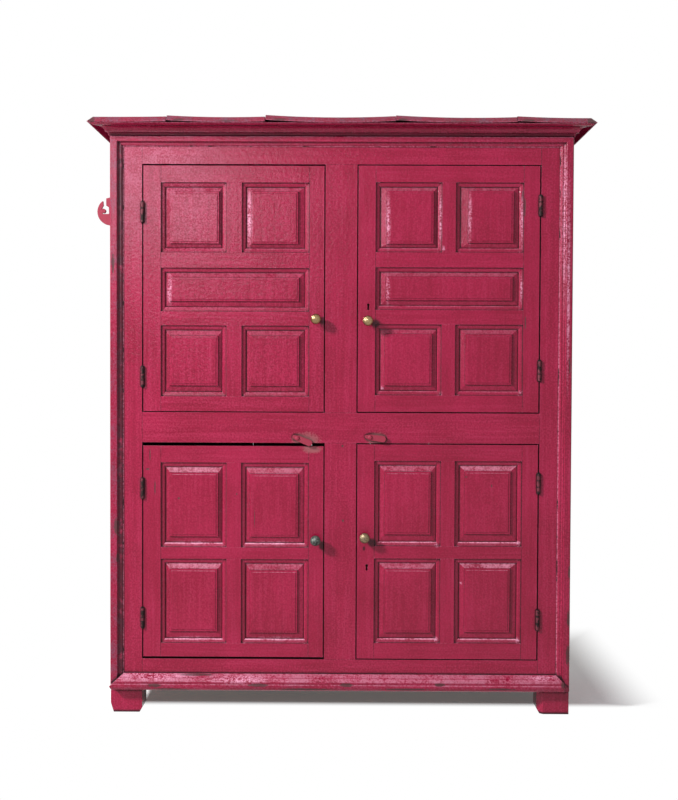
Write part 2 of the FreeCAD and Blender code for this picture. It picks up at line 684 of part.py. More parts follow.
def frustum(front, front_depth, rear, rear_depth):
    """Block from one upright rectangle back to another, each at a depth behind the face."""
    return Part.makeWedge(front[0], FACE + front_depth, front[2], rear[2], rear[0],
                          front[1], FACE + rear_depth, front[3], rear[3], rear[1])


def frustums(rectangle, profile):
    """Blocks one behind another between the points of a profile, given as (distance out from the
    rectangle, depth)."""
    blocks = []
    for (margin, depth), (next_margin, next_depth) in zip(profile, profile[1:]):
        front, rear = narrowed(rectangle, -margin), narrowed(rectangle, -next_margin)
        blocks.append(frustum(front, depth, rear, next_depth))
    return blocks


def mould_hollow(opening):
    """What the moulding plane takes off the frame all round an opening."""
    blocks = frustums(opening, [(-distance, depth) for distance, depth in FRAME_MOULD])
    return blocks[0].fuse(blocks[1:])


def panel_pocket(opening):
    """The grooves round one panel."""
    return door_tenon(*narrowed(clear_opening(opening), -GROOVE_DEPTH))


def raised_panel(opening, field):
    """Panel with its tongue in the grooves, a bevel rising all round and a stepped, raised field."""
    clear = clear_opening(opening)
    foot_margin, foot_depth = FIELD_MOULD[-1]
    bevel = frustum(narrowed(field, -foot_margin), foot_depth, clear, BEVEL_RIM)
    rim = box(clear[0], clear[1], FACE + BEVEL_RIM, FACE + GROOVE[0], clear[2], clear[3])
    tongue = door_tenon(*narrowed(clear, -TONGUE))
    return tongue.fuse([rim, bevel] + frustums(field, FIELD_MOULD)).removeSplitter()


def raised_panels(door):
    """The panels of a door, with their fields where fields puts them."""
    panels = []
    for opening, margins in zip(door_openings(door), door["fields"]):
        lock_margin, hinge_margin, below, above = margins
        x0, x1, z0, z1 = opening
        field = (x0 + lock_margin, x1 - hinge_margin, z0 + below, z1 - above)
        panels.append(raised_panel(opening, field))
    return panels


def upright_edges(openings, x):
    """Strips for the moulding beside the openings that have a side at x."""
    strips = []
    for x0, x1, z0, z1 in openings:
        if x0 == x:
            strips.append(box(x0, x0 + MOULD_WIDTH, FACE, FACE + DOOR_THICK, z0, z1))
        if x1 == x:
            strips.append(box(x1 - MOULD_WIDTH, x1, FACE, FACE + DOOR_THICK, z0, z1))
    return strips


def level_edges(openings, z):
    """Strips for the moulding over or under the openings that start or end at z."""
    strips = []
    for opening in openings:
        x0, x1, clear_bottom, clear_top = clear_opening(opening)
        if opening[2] == z:
            strips.append(box(x0, x1, FACE, FACE + DOOR_THICK, z, clear_bottom))
        if opening[3] == z:
            strips.append(box(x0, x1, FACE, FACE + DOOR_THICK, clear_top, z))
    return strips


def door_rail_tenons(door):
    left, right = door["lock_stile"], door["hinge_stile"]
    tenons = []
    for z0, z1 in door_rail_spans(door):
        low, high = z0 + TENON_INSET, z1 - TENON_INSET
        tenons.append(door_tenon(left - DOOR_TENON_LENGTH, left, low, high))
        tenons.append(door_tenon(right, right + DOOR_TENON_LENGTH, low, high))
    return tenons


def muntin_stubs(door):
    """Stub tenons at both ends of each muntin."""
    left, right = door["muntin"]
    stubs = []
    for z0, z1, divided in door["rows"]:
        if divided:
            stubs.append(door_tenon(left, right, z0 - TONGUE, z0))
            stubs.append(door_tenon(left, right, z1, z1 + TONGUE))
    return stubs


def opening_cuts(door):
    """The mouldings and grooves round every panel."""
    cuts = []
    for opening in door_openings(door):
        cuts += [mould_hollow(opening), panel_pocket(opening)]
    return cuts


def knob_hole(door):
    """Hole for the knob's shank."""
    x, z = door["knob"]
    return Part.makeCylinder(KNOB_HOLE_RADIUS, KNOB_HOLE_DEPTH, V(x, FACE, z), V(0, 1, 0))


def door_stiles(door, lock_cuts):
    """The two uprights of a door."""
    openings = door_openings(door)
    inner, outer = door["lock_stile"], door["hinge_stile"]
    lock = box(LOCK_EDGE, inner, FACE, FACE + DOOR_THICK, door["bottom"], door["top"])
    lock = lock.fuse(upright_edges(openings, inner)).removeSplitter()
    hinge = box(outer, HINGE_EDGE, FACE, FACE + DOOR_THICK, door["bottom"], door["top"])
    hinge = hinge.fuse(upright_edges(openings, outer)).removeSplitter()
    cuts = door_rail_tenons(door) + opening_cuts(door) + [knob_hole(door)] + lock_cuts
    for middle in door["hinges"]:
        cuts += [door_leaf_sinking(middle), knuckle_round(middle)]
    return [lock.cut(cuts), hinge.cut(cuts)]


def door_rails(door):
    """Rails between the stiles, mortised for the muntins."""
    openings = door_openings(door)
    left, right = door["lock_stile"], door["hinge_stile"]
    spans = door_rail_spans(door)
    tenons = door_rail_tenons(door)
    cuts = opening_cuts(door) + muntin_stubs(door) + [knob_hole(door)]
    rails = []
    for number, (z0, z1) in enumerate(spans):
        body = box(left, right, FACE, FACE + DOOR_THICK, z0, z1)
        extra = tenons[2 * number:2 * number + 2] + level_edges(openings, z0) + level_edges(openings, z1)
        rails.append(body.fuse(extra).removeSplitter().cut(cuts))
    return rails


def door_muntins(door):
    """Short uprights between two panels, stub-tenoned into the rails."""
    openings = door_openings(door)
    left, right = door["muntin"]
    stubs = muntin_stubs(door)
    cuts = opening_cuts(door)
    muntins = []
    for z0, z1, divided in door["rows"]:
        if divided:
            body = box(left, right, FACE, FACE + DOOR_THICK, z0, z1)
            row = [opening for opening in openings if opening[2] == z0]
            edges = upright_edges(row, left) + upright_edges(row, right)
            ends = stubs[2 * len(muntins):2 * len(muntins) + 2]
            muntins.append(body.fuse(edges + ends).removeSplitter().cut(cuts))
    return muntins


def knob_profile():
    """Half section of a knob: its shank and foot, the elliptical bulb and the tip."""
    bulb = []
    for number in range(KNOB_BULB["cuts"] + 1):
        angle = math.radians(KNOB_BULB["half_angle"] * (2 * number / KNOB_BULB["cuts"] - 1))
        bulb.append((KNOB_BULB["radius"] * math.cos(angle),
                     KNOB_BULB["middle"] + KNOB_BULB["half_length"] * math.sin(angle)))
    return KNOB_FOOT + tuple(bulb) + KNOB_TIP


def knob(door):
    """Turned knob on its shank."""
    x, z = door["knob"]
    wire = outline(knob_profile(), lambda radius, out: V(x + radius, FACE - out, z))
    return Part.Face(wire).revolve(V(x, FACE, z), V(0, 1, 0), 360)


def doors():
    for name, door in DOORS.items():
        side = door["side"]
        lock_cuts = []
        for lock in LOCKS.values():
            if lock["door"] == name:
                lock_cuts = [lock_recess(lock), keyhole(lock, FACE, FACE + LOCK_FRONT)]
        pieces = {
            "stiles": door_stiles(door, lock_cuts),
            "rails": door_rails(door),
            "muntins": door_muntins(door),
            "panels": raised_panels(door),
            "fittings": [door_leaf(middle) for middle in door["hinges"]] + [knob(door)],
        }
        for piece, solids in pieces.items():
            save(name + "_door_" + piece, [on_side(solid, side) for solid in solids])


# Locks

def lock_heights(lock):
    """The lock is let in towards the bolt's side of the keyhole."""
    key_z = lock["key"][1]
    if lock["bolt_offset"] > 0:
        return key_z - LOCK_NEAR, key_z + LOCK_FAR
    return key_z - LOCK_FAR, key_z + LOCK_NEAR


def lock_recess(lock):
    low, high = lock_heights(lock)
    return box(LOCK_EDGE, LOCK_EDGE + LOCK_WIDTH, FACE + LOCK_FRONT, FACE + DOOR_THICK, low, high)


def keyhole(lock, y0, y1):
    """Round hole with a slot below it."""
    x, z = lock["key"]
    top = z + KEY_SLOT_DROP / 2
    hole = Part.makeCylinder(KEY_ROUND, y1 - y0, V(x, y0, top), V(0, 1, 0))
    slot = box(x - KEY_SLOT_HALF, x + KEY_SLOT_HALF, y0, y1, top - KEY_ROUND - KEY_SLOT_DROP, top)
    return hole.fuse(slot)


def bolt_block(lock, x0, x1, room):
    """Space of the bolt between two x, with room round it."""
    middle = lock["key"][1] + lock["bolt_offset"]
    half = BOLT["height"] / 2 + room
    return box(x0, x1, FACE + BOLT_FRONT - room, FACE + BOLT_FRONT + BOLT["thick"] + room,
               middle - half, middle + half)


def lock_case(lock):
    """Iron box flush with the door's back, open for the key and for the bolt."""
    low, high = lock_heights(lock)
    wall = LOCK_WALL
    outer = lock_recess(lock)
    hollow = box(LOCK_EDGE + wall, LOCK_EDGE + LOCK_WIDTH - wall, FACE + LOCK_FRONT + wall,
                 FACE + DOOR_THICK - wall, low + wall, high - wall)
    mouth = bolt_block(lock, LOCK_EDGE, LOCK_EDGE + wall, BOLT_CLEARANCE)
    key = keyhole(lock, FACE + LOCK_FRONT, FACE + LOCK_FRONT + wall)
    x, z = lock["key"]
    pin = Part.makeCylinder(KEY_PIN_RADIUS, DOOR_THICK - LOCK_FRONT - wall / 2,
                            V(x, FACE + LOCK_FRONT, z + KEY_SLOT_DROP / 2), V(0, 1, 0))
    return outer.cut([hollow, mouth, key]).fuse(pin)


def lock_bolt(lock):
    start = LOCK_EDGE + BOLT_CLEARANCE
    return bolt_block(lock, start, start + BOLT["length"], 0.0)


def bolt_mortise(lock):
    """Hole in the centre stile's edge that the bolt enters."""
    depth = BOLT_TRAVEL + BOLT_MORTISE_ROOM
    return bolt_block(lock, STILE_HALF - depth, STILE_HALF, BOLT_MORTISE_ROOM)


# Ironwork on the face and side

def button_pin_hole(x, z):
    return Part.makeCylinder(BUTTON_PIN_RADIUS, BUTTON_PIN_DEPTH, V(x, FACE, z), V(0, 1, 0))


def turn_button(button):
    """Flat forged arm that turns on a pin."""
    x, z = button["pivot"]
    rear = FACE - BUTTON_LIFT
    front = rear - BUTTON_THICK
    body = prism(BUTTON_OUTLINE, lambda along, up: V(x + along, front, z + up), V(0, BUTTON_THICK, 0))
    body = body.cut(Part.makeCylinder(BUTTON_BORE, BUTTON_THICK, V(x, front, z), V(0, 1, 0)))
    body.rotate(V(x, 0, z), V(0, 1, 0), button["droop"])
    return body


def button_pin(button):
    """Pin driven into the rail, with a filed head over the button."""
    x, z = button["pivot"]
    seat = BUTTON_LIFT + BUTTON_THICK + BUTTON_PLAY
    tip = seat + BUTTON_HEAD["height"]
    section = ((0.0, -BUTTON_PIN_DEPTH), (BUTTON_PIN_RADIUS, -BUTTON_PIN_DEPTH), (BUTTON_PIN_RADIUS, seat),
               (BUTTON_HEAD["radius"], seat), (BUTTON_HEAD["flat"], tip), (0.0, tip))
    wire = outline(section, lambda radius, out: V(x + radius, FACE - out, z))
    return Part.Face(wire).revolve(V(x, FACE, z), V(0, 1, 0), 360)


def hook_place(out, height):
    return V(-HALF_WIDTH - out, FACE + HOOK_BACKSET, HOOK_BASE + height)


def side_hook():
    """Flat forged hook: a D-shaped plate with an eye, a throat open at the top and a curled tongue."""
    plate = prism(HOOK_OUTLINE, hook_place, V(0, HOOK_THICK, 0))
    middle = FACE + HOOK_BACKSET + HOOK_THICK / 2
    tongue = Part.makeCylinder(HOOK_TONGUE["radius"], HOOK_TONGUE["length"],
                               V(-HALF_WIDTH - HOOK_TONGUE["out"], middle - HOOK_TONGUE["length"] / 2,
                                 HOOK_BASE + HOOK_TONGUE["height"]), V(0, 1, 0))
    return plate.fuse([tongue, hook_tang()]).removeSplitter()


def hook_tang():
    """Spike driven into the post."""
    middle = FACE + HOOK_BACKSET + HOOK_THICK / 2
    half = HOOK_TANG["thick"] / 2
    low = HOOK_BASE + HOOK_TANG["height"]
    return box(-HALF_WIDTH, -HALF_WIDTH + HOOK_TANG["length"], middle - half, middle + half,
               low, low + HOOK_TANG["height"])


def carcass():
    left, right = front_posts()
    save("front_left_post", left.cut(hook_tang()))
    save("front_right_post", right)
    save("back_posts", back_posts())
    face_rails()
    save("lower_centre_stile", centre_stile(BOTTOM_RAIL[1], MIDDLE_RAIL[0], LOCKS["lower"]))
    save("upper_centre_stile", centre_stile(MIDDLE_RAIL[1], TOP_RAIL[0], LOCKS["upper"]))
    save("door_stops", door_stops())
    save("right_side_rails", side_rails())
    save("left_side_rails", [mirrored(rail) for rail in side_rails()])
    save("right_side_panels", side_panels())
    save("left_side_panels", [mirrored(panel) for panel in side_panels()])
    save("back_rails", back_rails())
    save("back_boards", back_boards())
    inner_boards()
    save("shelf_battens", shelf_battens())
    cornice()
    save("top_boards", top_boards())
    face_mouldings()
    save("base_moulding", base_moulding())


def ironwork():
    fixed_hinge_parts()
    save("side_hook", side_hook())
    save("turn_button_pins", [button_pin(button) for button in TURN_BUTTONS.values()])
    for name, button in TURN_BUTTONS.items():
        save(name + "_turn_button", turn_button(button))
    for name, lock in LOCKS.items():
        save(name + "_lock_case", lock_case(lock))
        save(name + "_lock_bolt", lock_bolt(lock))


os.makedirs("parts", exist_ok=True)
carcass()
doors()
ironwork()
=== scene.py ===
import math

import bmesh
import bpy
import numpy as np
from mathutils import Matrix, Vector


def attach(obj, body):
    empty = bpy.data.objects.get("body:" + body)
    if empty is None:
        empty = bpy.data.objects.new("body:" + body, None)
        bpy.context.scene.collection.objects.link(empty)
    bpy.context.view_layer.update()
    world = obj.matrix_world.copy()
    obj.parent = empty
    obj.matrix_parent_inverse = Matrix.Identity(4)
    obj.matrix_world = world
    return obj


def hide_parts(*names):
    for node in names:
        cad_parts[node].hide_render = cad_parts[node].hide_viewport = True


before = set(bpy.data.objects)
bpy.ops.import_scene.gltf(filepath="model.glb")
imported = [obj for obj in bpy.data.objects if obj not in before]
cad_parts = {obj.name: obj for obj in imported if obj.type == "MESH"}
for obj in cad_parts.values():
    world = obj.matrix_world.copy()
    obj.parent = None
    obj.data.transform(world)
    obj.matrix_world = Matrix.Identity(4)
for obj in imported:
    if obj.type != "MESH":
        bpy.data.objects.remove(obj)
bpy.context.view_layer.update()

# Places on the cupboard, in metres. X runs to the viewer's right, Y to the back and Z up.
# FACE is the front of the posts, rails and doors. Painted marks end FRONT_SKIN behind it, fading over
# SKIN_FADE, and a painted seam wanders by up to SEAM_DRIFT.
FACE = -0.2105
FRONT_SKIN = 0.013
SKIN_FADE = 0.004
SEAM_DRIFT = 0.0012
DOORS = {
    "upper_left": dict(side=-1, knob=(0.0750, 1.1880), hinges=(1.0140, 1.5065)),
    "upper_right": dict(side=1, knob=(0.0805, 1.1835), hinges=(1.0360, 1.5290)),
    "lower_left": dict(side=-1, knob=(0.0740, 0.5245), hinges=(0.2865, 0.6780)),
    "lower_right": dict(side=1, knob=(0.0735, 0.5330), hinges=(0.2855, 0.6970)),
}


# Shader maths

class Reading:
    """One value or colour in a node tree. Signs between readings add Math nodes."""

    def __init__(self, nodes, socket):
        self.nodes = nodes
        self.socket = socket

    def math(self, operation, *terms):
        return self.nodes.add("ShaderNodeMath", {"operation": operation}, dict(enumerate(terms)))

    def __add__(self, other):
        return self.math("ADD", self, other)

    __radd__ = __add__

    def __sub__(self, other):
        return self.math("SUBTRACT", self, other)

    def __rsub__(self, other):
        return self.math("SUBTRACT", other, self)

    def __mul__(self, other):
        return self.math("MULTIPLY", self, other)

    __rmul__ = __mul__

    def __truediv__(self, other):
        return self.math("DIVIDE", self, other)

    def __abs__(self):
        return self.math("ABSOLUTE", self)

    def most(self, other):
        return self.math("MAXIMUM", self, other)

    def rise(self, low, high):
        """0 below low, 1 above high, and a smooth rise between."""
        return self.nodes.add("ShaderNodeMapRange", {"interpolation_type": "SMOOTHSTEP"},
                              {"Value": self, "From Min": low, "From Max": high})


class Nodes:
    """A node tree that is built up node by node."""

    def __init__(self, tree):
        self.tree = tree
        tree.nodes.clear()

    def add(self, kind, settings=None, sockets=None, output=0):
        """A node of that kind: its settings first, then the values or links of its sockets."""
        node = self.tree.nodes.new(kind)
        for name, value in (settings or {}).items():
            setattr(node, name, value)
        for key, value in (sockets or {}).items():
            if isinstance(value, Reading):
                self.tree.links.new(value.socket, node.inputs[key])
            else:
                node.inputs[key].default_value = value
        return Reading(self, node.outputs[output]) if node.outputs else None

    def background_rays(self):
        """1 for what is seen, mirrored or seen through glass, and 0 for light on the object."""
        camera_ray, glossy_ray, transmission_ray = (
            self.add("ShaderNodeLightPath", output="Is " + kind + " Ray")
            for kind in ("Camera", "Glossy", "Transmission"))
        return camera_ray.most(glossy_ray).most(transmission_ray)


class Finish(Nodes):
    """A material, with the patterns and masks that the finishes share."""

    def __init__(self, name):
        self.material = bpy.data.materials.new(name)
        self.material.use_nodes = True
        super().__init__(self.material.node_tree)
        self.place = self.add("ShaderNodeTexCoord", output="Object")

    def along(self, axis):
        return self.add("ShaderNodeSeparateXYZ", None, {"Vector": self.place}, axis)

    def stretched(self, scale):
        return self.add("ShaderNodeMapping", None, {"Vector": self.place, "Scale": scale})

    def noise(self, place, scale, detail=3.0, roughness=0.55, distortion=0.0):
        return self.add("ShaderNodeTexNoise", None,
                        {"Vector": place, "Scale": scale, "Detail": detail, "Roughness": roughness,
                         "Distortion": distortion})

    def cells(self, place, scale):
        return self.add("ShaderNodeTexVoronoi", {"feature": "F1"}, {"Vector": place, "Scale": scale})

    def blend(self, share, first, second):
        return self.add("ShaderNodeMix", {"data_type": "RGBA"}, {0: share, 6: first, 7: second}, 2)

    def hollows(self, reach):
        """1 deep in a corner or gap and 0 on open faces."""
        return 1.0 - self.add("ShaderNodeAmbientOcclusion", {"samples": 8}, {"Distance": reach}, "AO")

    def edges(self, reach):
        """1 on an outer edge and 0 away from it."""
        return 1.0 - self.add("ShaderNodeAmbientOcclusion",
                              {"samples": 8, "inside": True, "only_local": True},
                              {"Distance": reach}, "AO")

    def spot(self, centre, reach):
        """1 in the middle of an oval on the face, falling to 0 at its rim and behind the face."""
        middle = (centre[0], FACE, centre[1])
        spread = (1.0 / reach[0], 0.0, 1.0 / reach[1])
        away = self.add("ShaderNodeVectorMath", {"operation": "SUBTRACT"}, {0: self.place, 1: middle})
        scaled = self.add("ShaderNodeVectorMath", {"operation": "MULTIPLY"}, {0: away, 1: spread})
        distance = self.add("ShaderNodeVectorMath", {"operation": "LENGTH"}, {0: scaled}, "Value")
        in_front = (FACE + FRONT_SKIN - self.along("Y")).rise(0.0, SKIN_FADE)
        return (1.0 - distance).rise(0.0, 1.0) * in_front

    def seam(self, axis, places, width):
        """1 along thin lines that cross one axis at those places, each broken and wandering a little."""
        apart = self.along(axis)
        drift = (self.noise(self.place, 16.0) - 0.5) * SEAM_DRIFT
        line = None
        for place in places:
            near = 1.0 - abs(apart + drift - place) / width
            line = near if line is None else line.most(near)
        return line.rise(0.0, 0.7) * self.noise(self.place, 45.0).rise(0.3, 0.5)

    def eased(self, radius):
        """The surface direction, rounded over each edge."""
        return self.add("ShaderNodeBevel", {"samples": 4}, {"Radius": radius})

    def relief(self, height, depth, normal=None):
        sockets = {"Height": height, "Distance": depth, "Strength": 1.0}
        if normal is not None:
            sockets["Normal"] = normal
        return self.add("ShaderNodeBump", None, sockets)

    def close(self, **sockets):
        """The shader itself; the sockets are named with underscores for spaces."""
        named = {key.replace("_", " "): value for key, value in sockets.items()}
        shader = self.add("ShaderNodeBsdfPrincipled", None, named)
        self.add("ShaderNodeOutputMaterial", None, {"Surface": shader})
        return self.material


def tone(red, green, blue):
    """A colour as it is read off a screen, 0 to 255, in the linear light that shaders take."""
    channels = []
    for value in (red, green, blue):
        share = value / 255.0
        channels.append(share / 12.92 if share <= 0.04045 else ((share + 0.055) / 1.055) ** 2.4)
    return (*channels, 1.0)


# Finishes

# Scale of the brush strokes and of the wood's grain: nine to the metre along, 240 across
STROKES = {"x": (9.0, 240.0, 240.0), "y": (240.0, 9.0, 240.0), "z": (240.0, 240.0, 9.0)}

DEEP_CRIMSON = tone(132, 12, 46)
BRIGHT_CRIMSON = tone(148, 20, 58)
PALE_STROKE = tone(170, 50, 86)
DARK_STROKE = tone(96, 4, 30)
DARK_PAINT_AND_SHADE = tone(52, 0, 14)
GREY_BLOOM = tone(104, 62, 80)
HOLLOW_GRIME_AND_SHADE = tone(18, 0, 4)
SEAM_GRIME_AND_SHADE = tone(30, 0, 8)
KNOB_SHADOW_AND_GRIME = tone(34, 0, 10)
SLOPE_HIGHLIGHT = tone(236, 160, 186)
WORN_EDGE_AND_HIGHLIGHT = tone(210, 122, 148)
CHIPPED_EDGE = tone(62, 20, 28)
WORN_WOOD = tone(140, 92, 92)
DARK_CHIP = tone(70, 38, 40)
PAINTED_HIGHLIGHT_AND_PALE_CHIP = tone(226, 160, 188)


def stretch(stroke, share):
    """The stroke's scale times a share: broader strokes for a smaller share."""
    return tuple(value * share for value in STROKES[stroke])


def crimson_paint(name, stroke, upward_highlight=0.0, grain=1.0, grime_and_shade=0.95, wear_and_edge_highlight=1.0, film=0.0, shade=0.0,
                  gloss=0.27, seams=(), rubs=(), knocks=(), knob_shadows_and_stains=(), highlights_and_pale_chips=()):
    """Brushed crimson oil paint: ridges along the stroke, a pebbled skin, dirt and painted shade in the
    hollows, edges worn pale with a painted highlight, and chipped edges. polish is how strong the painted
    highlight is on slopes that face upwards, grain the strength of the brush marks, film a grey bloom in
    patches, shade how far the paint is darkened, by age on the crown boards and as painted shade on the
    cornice returns, grime how strong the dirt and painted shade in the hollows are, wear how strong the
    pale edges and the chips are, and seams the axis, places and width of open joints and of a band of
    painted shade. rubs, knocks, stains and glints are places on the face with bare wood, dark chips,
    painted knob shadows and a dark mark, and painted highlights and sheen with a few pale worn chips."""
    paint = Finish(name)
    ridges = paint.noise(paint.stretched(STROKES[stroke]), 1.0, 4.0, 0.6)
    broad = paint.noise(paint.stretched(stretch(stroke, 0.3)), 1.0, 3.0, 0.6, 0.4)
    pebble = paint.noise(paint.place, 190.0, 3.0, 0.65)
    lumps = paint.noise(paint.place, 85.0, 2.0, 0.5)
    cloud = paint.noise(paint.place, 5.0, 4.0, 0.6)
    patchy = paint.noise(paint.place, 24.0, 4.0, 0.65)
    edge = paint.edges(0.004)
    hollow = paint.hollows(0.012)
    direction = paint.add("ShaderNodeNewGeometry", output="Normal")
    facing = paint.add("ShaderNodeSeparateXYZ", None, {"Vector": direction}, "Z")

    # The paint itself, its brush marks, its age, and painted shade where shade is set
    colour = paint.blend(cloud.rise(0.3, 0.7), DEEP_CRIMSON, BRIGHT_CRIMSON)
    light_marks = (ridges * 0.35 + broad * 0.2 + pebble * 0.5).rise(0.48, 0.66)
    colour = paint.blend(light_marks * (0.5 * grain), colour, PALE_STROKE)
    dark_marks = (1.0 - broad * 0.3 - pebble * 0.7).rise(0.44, 0.62)
    colour = paint.blend(dark_marks * (0.45 * grain), colour, DARK_STROKE)
    # darker paint: aged on the crown boards, and painted shade on the cornice returns
    if shade:
        colour = paint.blend(shade, colour, DARK_PAINT_AND_SHADE)
    if film:
        bloom = (patchy * 0.5 + pebble * 0.6).rise(0.48, 0.7) * film
        colour = paint.blend(bloom, colour, GREY_BLOOM)

    # Dirt and painted shade in hollows, painted highlight on upward slopes, pale edges with painted
    # highlight, chips
    grime_and_shade_mask = (hollow * (0.7 + patchy)).rise(0.1, 0.4)
    colour = paint.blend(grime_and_shade_mask * grime_and_shade, colour, HOLLOW_GRIME_AND_SHADE)
    # painted highlight on slopes that face upwards
    slope_highlight_mask = facing.rise(0.12, 0.3) * (1.0 - facing.rise(0.9, 0.97))
    slope_highlight_mask = slope_highlight_mask * (pebble * 0.6 + patchy * 0.6).rise(0.42, 0.72) * upward_highlight
    colour = paint.blend(slope_highlight_mask, colour, SLOPE_HIGHLIGHT)
    # outer edges worn pale, with a painted highlight on them
    worn_and_lit_edge = (edge * (0.4 + patchy)).rise(0.32, 0.75) * (0.2 + 0.8 * pebble.rise(0.4, 0.6))
    colour = paint.blend(worn_and_lit_edge * (0.5 * wear_and_edge_highlight), colour, WORN_EDGE_AND_HIGHLIGHT)
    chip = (edge * 0.8 + patchy.rise(0.45, 0.75) * 0.7 + pebble * 0.3 - 1.14).rise(0.0, 0.1) * wear_and_edge_highlight
    colour = paint.blend(chip, colour, CHIPPED_EDGE)
    bare = chip

    # Marks at listed places on the face
    # dark joints, and a band of painted shade on the left moulding
    for axis, places, width in seams:
        colour = paint.blend(paint.seam(axis, places, width) * 0.7, colour, SEAM_GRIME_AND_SHADE)
    for centre, reach in rubs:
        patch = (paint.spot(centre, reach) * 0.7 + patchy * 0.6 + pebble * 0.6 - 0.82).rise(0.0, 0.4)
        colour = paint.blend(patch * 0.6, colour, WORN_WOOD)
        bare = bare.most(patch * 0.4)
    for centre, reach in knocks:
        mark = (paint.spot(centre, reach) * 0.8 + pebble * 1.1 + patchy * 0.4 - 1.12).rise(0.0, 0.16)
        colour = paint.blend(mark * 0.9, colour, DARK_CHIP)
        bare = bare.most(mark * 0.5)
    # painted shadows of the knobs, and a dark mark
    for centre, reach in knob_shadows_and_stains:
        knob_shadow_and_stain = (paint.spot(centre, reach) * (0.8 + 0.6 * patchy)).rise(0.1, 0.8)
        colour = paint.blend(knob_shadow_and_stain * 0.8, colour, KNOB_SHADOW_AND_GRIME)
    # painted highlights and sheen, and a few pale worn chips, left out of the hollows
    for centre, reach, share in highlights_and_pale_chips:
        shine = paint.spot(centre, reach) * (pebble * 0.8 + patchy * 0.4).rise(0.5, 0.72)
        colour = paint.blend(shine * (1.0 - grime_and_shade_mask) * share, colour, PAINTED_HIGHLIGHT_AND_PALE_CHIP)

    brushwork = ridges * (0.1 * grain) + broad * (0.2 * grain)
    height = brushwork + pebble * 0.3 + patchy * 0.5 - bare * 0.6 + lumps * 0.7
    normal = paint.relief(height, 0.001, paint.eased(0.0016))
    roughness = 0.12 + 0.1 * patchy + 0.1 * pebble + 0.4 * bare + 0.5 * grime_and_shade_mask
    return paint.close(Base_Color=colour, Roughness=roughness, Normal=normal, Specular_IOR_Level=gloss)


def bare_wood(name, stroke):
    """Unpainted softwood gone brown: long grain with darker bands, and darker in corners and gaps."""
    wood = Finish(name)
    grain = wood.noise(wood.stretched(STROKES[stroke]), 1.0, 5.0, 0.65, 0.6)
    bands = wood.noise(wood.stretched(stretch(stroke, 0.18)), 1.0, 3.0, 0.5, 1.6)
    cloud = wood.noise(wood.place, 4.0, 3.0, 0.5)
    edge = wood.edges(0.004)
    hollow = wood.hollows(0.03)
    colour = wood.blend(bands.rise(0.35, 0.65), tone(150, 112, 76), tone(120, 82, 52))
    colour = wood.blend(grain.rise(0.4, 0.7) * 0.6, colour, tone(88, 58, 38))
    colour = wood.blend(cloud.rise(0.4, 0.8) * 0.4, colour, tone(112, 98, 84))
    colour = wood.blend(hollow.rise(0.2, 0.9) * 0.7, colour, tone(48, 36, 28))
    colour = wood.blend(edge.rise(0.4, 0.9) * 0.35, colour, tone(172, 140, 104))
    normal = wood.relief(grain * 0.6 + bands * 0.4, 0.0006, wood.eased(0.0015))
    return wood.close(Base_Color=colour, Roughness=0.66 + 0.2 * grain, Normal=normal,
                      Specular_IOR_Level=0.3)


def brass(name, bright, dark, shine, tarnish):
    """Turned brass: fine lathe lines, tarnish in patches and in the hollow of the foot. shine is how rough
    the bright metal is, and tarnish how far the dark patches spread."""
    metal = Finish(name)
    cloud = metal.noise(metal.place, 190.0, 4.0, 0.7)
    lines = metal.noise(metal.stretched((160.0, 2600.0, 160.0)), 1.0, 2.0, 0.5)
    hollow = metal.hollows(0.01)
    dull = (cloud + hollow - 0.75 + tarnish).rise(0.0, 0.3)
    colour = metal.blend(dull, bright, dark)
    normal = metal.relief(lines * 0.4 + cloud * 1.6, 0.0008)
    return metal.close(Base_Color=colour, Metallic=1.0 - 0.45 * dull, Roughness=shine + 0.35 * dull,
                       Normal=normal)


def iron(name, dark, rust, paint, coat=tone(92, 18, 36)):
    """Forged iron: hammered and pitted, with rust. paint is how much of an old coat is left on it."""
    metal = Finish(name)
    cloud = metal.noise(metal.place, 90.0, 5.0, 0.65)
    pits = metal.cells(metal.place, 520.0)
    edge = metal.edges(0.003)
    kept = (metal.noise(metal.place, 60.0, 4.0, 0.6) - edge * 0.5 + paint - 0.5).rise(0.0, 0.08)
    colour = metal.blend(cloud.rise(0.4, 0.7), dark, rust)
    colour = metal.blend(kept, colour, coat)
    normal = metal.relief(cloud * 0.6 + pits * 0.4 + kept * 0.5, 0.0005, metal.eased(0.0012))
    return metal.close(Base_Color=colour, Metallic=0.65 - 0.65 * kept, Roughness=0.55 + 0.2 * cloud,
                       Normal=normal)


# Surfaces

# Points closer than SAME_POINT are one point, an edge sharper than SHARP_ANGLE is shaded as an edge, and
# a block's rounded corner has CORNER_POINTS points
SAME_POINT = 1e-6
SHARP_ANGLE = math.radians(40.0)
CORNER_POINTS = 4


def grid(points):
    """Points and faces of a surface given on a grid (rows, columns, 3), its last column joined to the
    first."""
    rows, columns = points.shape[:2]
    index = np.arange(rows * columns).reshape(rows, columns)
    index = np.concatenate([index, index[:, :1]], axis=1)
    faces = np.stack([index[:-1, :-1], index[:-1, 1:], index[1:, 1:], index[1:, :-1]], axis=-1)
    return points.reshape(-1, 3), faces.reshape(-1, 4)


def gather(parts):
    """Several surfaces as one set of points and faces."""
    points = [part_points for part_points, part_faces in parts]
    starts = np.cumsum([0] + [len(part_points) for part_points in points[:-1]])
    faces = [part_faces + start for (part_points, part_faces), start in zip(parts, starts)]
    return np.concatenate(points), np.concatenate(faces)


